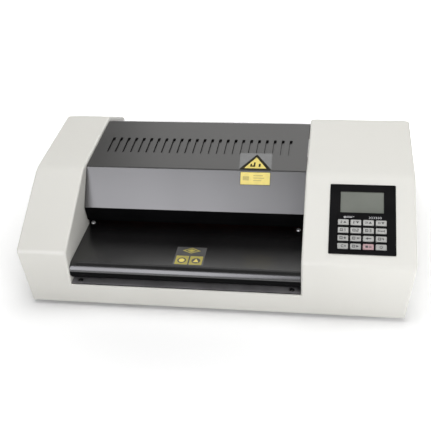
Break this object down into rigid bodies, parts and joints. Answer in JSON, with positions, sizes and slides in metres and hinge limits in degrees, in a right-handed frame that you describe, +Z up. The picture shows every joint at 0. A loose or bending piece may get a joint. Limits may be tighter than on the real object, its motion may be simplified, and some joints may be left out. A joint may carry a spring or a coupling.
{
  "type": "pouch laminator",
  "caption": "Desktop pouch laminator: folded steel casing with two towers, vented cover, feed table, geared heated rollers and a keypad with display on the right.",
  "frame": {"origin": "centre of the footprint, on the surface the feet rest on", "axes": "+X to the operator's right along the rollers, +Y from the feed side to the exit side, +Z up"},
  "size_m": [0.56, 0.372, 0.1658],
  "materials": {
    "casing_paint": "warm white satin powder coat",
    "cover_paint": "black semi-gloss paint, fine texture",
    "zinc_steel": "zinc-plated sheet steel",
    "bright_screw": "bright plated steel",
    "black_screw": "blackened steel",
    "foot_rubber": "matt black rubber",
    "silicone": "red-brown silicone on a steel shaft",
    "gear_nylon": "natural nylon",
    "bush_polymer": "brown bearing polymer",
    "shoe_aluminium": "plain aluminium sheet",
    "spring_steel": "bright spring wire",
    "bezel_black": "black satin-gloss panel",
    "lcd_glass": "grey-green display window",
    "circuit_board": "green solder resist",
    "key_grey": "light grey keycap, slight grain",
    "key_red": "pinkish red keycap",
    "motor_case": "grey motor and gearbox case",
    "socket_black": "black moulded plastic",
    "rocker_black": "black gloss rocker"
  },
  "bodies": {
    "root": {"base_plate": "zinc_steel", "bush_lower_front_left": "bush_polymer", "bush_lower_front_right": "bush_polymer", "bush_lower_rear_left": "bush_polymer", "bush_lower_rear_right": "bush_polymer", "bush_upper_rear_left": "bush_polymer", "bush_upper_rear_right": "bush_polymer", "control_bezel": "bezel_black", "control_board": "circuit_board", "drive_motor": "motor_case", "exit_guide": "cover_paint", "feed_table": "cover_paint", "flange_screw_left": "black_screw", "flange_screw_right": "black_screw", "foot_front_left": "foot_rubber", "foot_front_right": "foot_rubber", "foot_rear_left": "foot_rubber", "foot_rear_right": "foot_rubber", "heating_shoe_lower": "shoe_aluminium", "heating_shoe_upper": "shoe_aluminium", "lcd_display": "lcd_glass", "outer_casing": "casing_paint", "power_board": "circuit_board", "power_inlet": "socket_black", "power_switch_housing": "socket_black", "pressure_spring_left": "spring_steel", "pressure_spring_right": "spring_steel", "side_frame_left": "zinc_steel", "side_frame_right": "zinc_steel", "table_screw_left": "bright_screw", "table_screw_right": "bright_screw", "top_cover": "cover_paint"},
    "key_temp_up_cap": {"key_temp_up": "key_grey"},
    "key_temp_down_cap": {"key_temp_down": "key_grey"},
    "key_speed_up_cap": {"key_speed_up": "key_grey"},
    "key_speed_down_cap": {"key_speed_down": "key_grey"},
    "key_preset_1_cap": {"key_preset_1": "key_grey"},
    "key_preset_2_cap": {"key_preset_2": "key_grey"},
    "key_preset_3_cap": {"key_preset_3": "key_grey"},
    "key_measure_cap": {"key_measure": "key_grey"},
    "key_cold_cap": {"key_cold": "key_grey"},
    "key_hot_cap": {"key_hot": "key_grey"},
    "key_reverse_cap": {"key_reverse": "key_grey"},
    "key_preset_4_cap": {"key_preset_4": "key_grey"},
    "key_standby_cap": {"key_standby": "key_grey"},
    "key_run_cap": {"key_run": "key_grey"},
    "key_stop_cap": {"key_stop": "key_red"},
    "key_power_cap": {"key_power": "key_grey"},
    "rocker": {"power_rocker": "rocker_black"},
    "front_roller_carriage": {"bush_upper_front_left": "bush_polymer", "bush_upper_front_right": "bush_polymer"},
    "lower_front_roller": {"roller_lower_front": "silicone", "gear_lower_front": "gear_nylon"},
    "lower_rear_roller": {"roller_lower_rear": "silicone", "gear_lower_rear": "gear_nylon"},
    "upper_front_roller": {"roller_upper_front": "silicone", "gear_upper_front": "gear_nylon"},
    "upper_rear_roller": {"roller_upper_rear": "silicone", "gear_upper_rear": "gear_nylon"},
    "pinion": {"motor_pinion": "gear_nylon"}
  },
  "joints": [
    {"name": "key_temp_up_press", "type": "slide", "parent": "root", "child": "key_temp_up_cap", "axis": [0, 0.4693, -0.883], "range_m": [0, 0.0008], "stiffness_N_per_m": 800, "springref_m": -0.0005},
    {"name": "key_temp_down_press", "type": "slide", "parent": "root", "child": "key_temp_down_cap", "axis": [0, 0.4693, -0.883], "range_m": [0, 0.0008], "stiffness_N_per_m": 800, "springref_m": -0.0005},
    {"name": "key_speed_up_press", "type": "slide", "parent": "root", "child": "key_speed_up_cap", "axis": [0, 0.4693, -0.883], "range_m": [0, 0.0008], "stiffness_N_per_m": 800, "springref_m": -0.0005},
    {"name": "key_speed_down_press", "type": "slide", "parent": "root", "child": "key_speed_down_cap", "axis": [0, 0.4693, -0.883], "range_m": [0, 0.0008], "stiffness_N_per_m": 800, "springref_m": -0.0005},
    {"name": "key_preset_1_press", "type": "slide", "parent": "root", "child": "key_preset_1_cap", "axis": [0, 0.4693, -0.883], "range_m": [0, 0.0008], "stiffness_N_per_m": 800, "springref_m": -0.0005},
    {"name": "key_preset_2_press", "type": "slide", "parent": "root", "child": "key_preset_2_cap", "axis": [0, 0.4693, -0.883], "range_m": [0, 0.0008], "stiffness_N_per_m": 800, "springref_m": -0.0005},
    {"name": "key_preset_3_press", "type": "slide", "parent": "root", "child": "key_preset_3_cap", "axis": [0, 0.4693, -0.883], "range_m": [0, 0.0008], "stiffness_N_per_m": 800, "springref_m": -0.0005},
    {"name": "key_measure_press", "type": "slide", "parent": "root", "child": "key_measure_cap", "axis": [0, 0.4693, -0.883], "range_m": [0, 0.0008], "stiffness_N_per_m": 800, "springref_m": -0.0005},
    {"name": "key_cold_press", "type": "slide", "parent": "root", "child": "key_cold_cap", "axis": [0, 0.4693, -0.883], "range_m": [0, 0.0008], "stiffness_N_per_m": 800, "springref_m": -0.0005},
    {"name": "key_hot_press", "type": "slide", "parent": "root", "child": "key_hot_cap", "axis": [0, 0.4693, -0.883], "range_m": [0, 0.0008], "stiffness_N_per_m": 800, "springref_m": -0.0005},
    {"name": "key_reverse_press", "type": "slide", "parent": "root", "child": "key_reverse_cap", "axis": [0, 0.4693, -0.883], "range_m": [0, 0.0008], "stiffness_N_per_m": 800, "springref_m": -0.0005},
    {"name": "key_preset_4_press", "type": "slide", "parent": "root", "child": "key_preset_4_cap", "axis": [0, 0.4693, -0.883], "range_m": [0, 0.0008], "stiffness_N_per_m": 800, "springref_m": -0.0005},
    {"name": "key_standby_press", "type": "slide", "parent": "root", "child": "key_standby_cap", "axis": [0, 0.4693, -0.883], "range_m": [0, 0.0008], "stiffness_N_per_m": 800, "springref_m": -0.0005},
    {"name": "key_run_press", "type": "slide", "parent": "root", "child": "key_run_cap", "axis": [0, 0.4693, -0.883], "range_m": [0, 0.0008], "stiffness_N_per_m": 800, "springref_m": -0.0005},
    {"name": "key_stop_press", "type": "slide", "parent": "root", "child": "key_stop_cap", "axis": [0, 0.4693, -0.883], "range_m": [0, 0.0008], "stiffness_N_per_m": 800, "springref_m": -0.0005},
    {"name": "key_power_press", "type": "slide", "parent": "root", "child": "key_power_cap", "axis": [0, 0.4693, -0.883], "range_m": [0, 0.0008], "stiffness_N_per_m": 800, "springref_m": -0.0005},
    {"name": "rocker_tilt", "type": "hinge", "parent": "root", "child": "rocker", "pos_m": [0.172, 0.1812, 0.054], "axis": [1, 0, 0], "range_deg": [-18, 0]},
    {"name": "front_roller_lift", "type": "slide", "parent": "root", "child": "front_roller_carriage", "axis": [0, 0, 1], "range_m": [0, 0.0015], "stiffness_N_per_m": 5000, "springref_m": -0.002, "deforming": ["pressure_spring_left", "pressure_spring_right"]},
    {"name": "lower_front_spin", "type": "hinge", "parent": "root", "child": "lower_front_roller", "pos_m": [0, -0.026, 0.054], "axis": [1, 0, 0], "continuous": true},
    {"name": "lower_rear_spin", "type": "hinge", "parent": "root", "child": "lower_rear_roller", "pos_m": [0, 0.028, 0.054], "axis": [1, 0, 0], "continuous": true},
    {"name": "upper_front_spin", "type": "hinge", "parent": "front_roller_carriage", "child": "upper_front_roller", "pos_m": [0, -0.026, 0.09], "axis": [1, 0, 0], "continuous": true},
    {"name": "upper_rear_spin", "type": "hinge", "parent": "root", "child": "upper_rear_roller", "pos_m": [0, 0.028, 0.09], "axis": [1, 0, 0], "continuous": true},
    {"name": "pinion_spin", "type": "hinge", "parent": "root", "child": "pinion", "pos_m": [0, 0.001, 0.03778], "axis": [1, 0, 0], "continuous": true}
  ],
  "couplings": [
    {"joint": "lower_rear_spin", "follows": "lower_front_spin", "ratio": 1},
    {"joint": "upper_front_spin", "follows": "lower_front_spin", "ratio": -1},
    {"joint": "upper_rear_spin", "follows": "lower_front_spin", "ratio": -1},
    {"joint": "pinion_spin", "follows": "lower_front_spin", "ratio": -1.3333}
  ]
}
